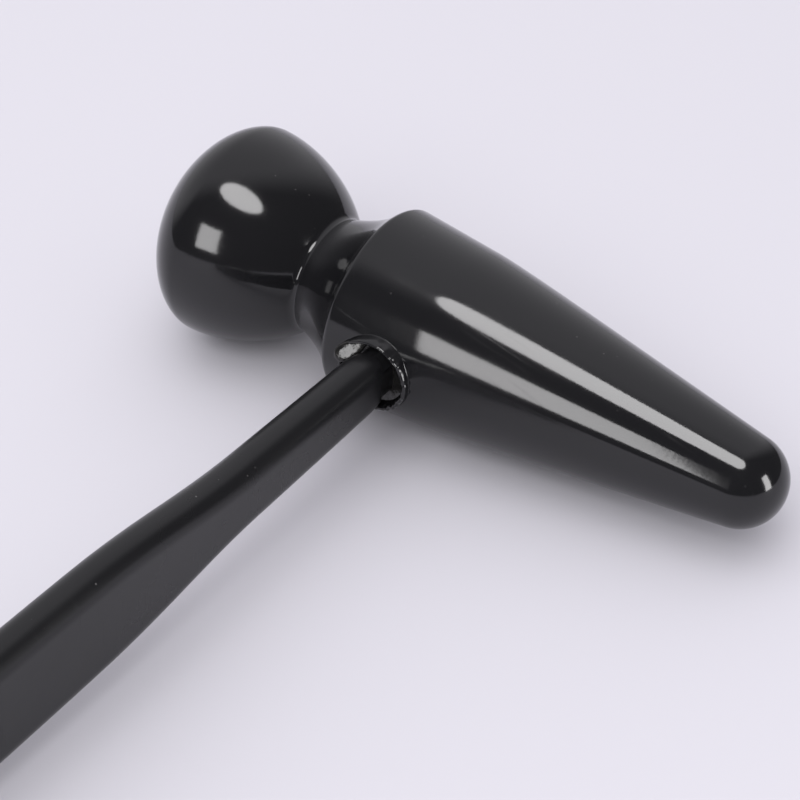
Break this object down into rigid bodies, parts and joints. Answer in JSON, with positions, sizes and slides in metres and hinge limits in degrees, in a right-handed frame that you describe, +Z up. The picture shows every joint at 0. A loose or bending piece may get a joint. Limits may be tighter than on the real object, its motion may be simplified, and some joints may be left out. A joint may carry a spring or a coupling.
{
  "type": "reflex hammer",
  "caption": "Percussion hammer for testing tendon reflexes: a black striking head with a rounded ball end and a tapered tip, on a flat paddle handle set at right angles.",
  "frame": {"origin": "centre of the footprint of the bounding box, on the table the hammer lies on", "axes": "+X along the head from the ball end to the tapered tip as seen from above, +Y along the handle from its free end to the head, +Z up. The hammer lies as it rests: the head's axis leans 4.0 degrees tip down about Y, and the free end of the handle is 0.995 degrees down about X."},
  "size_m": [0.0764, 0.1996, 0.0241],
  "materials": {
    "head": "high gloss black moulding",
    "sleeve": "gloss black, rounded bright lip",
    "handle": "satin black moulding",
    "adhesive": "set clear adhesive, dark against the black socket"
  },
  "bodies": {
    "root": {"striker_head": "head", "socket_sleeve": "sleeve", "handle": "handle", "adhesive_bead": "adhesive"}
  },
  "joints": []
}
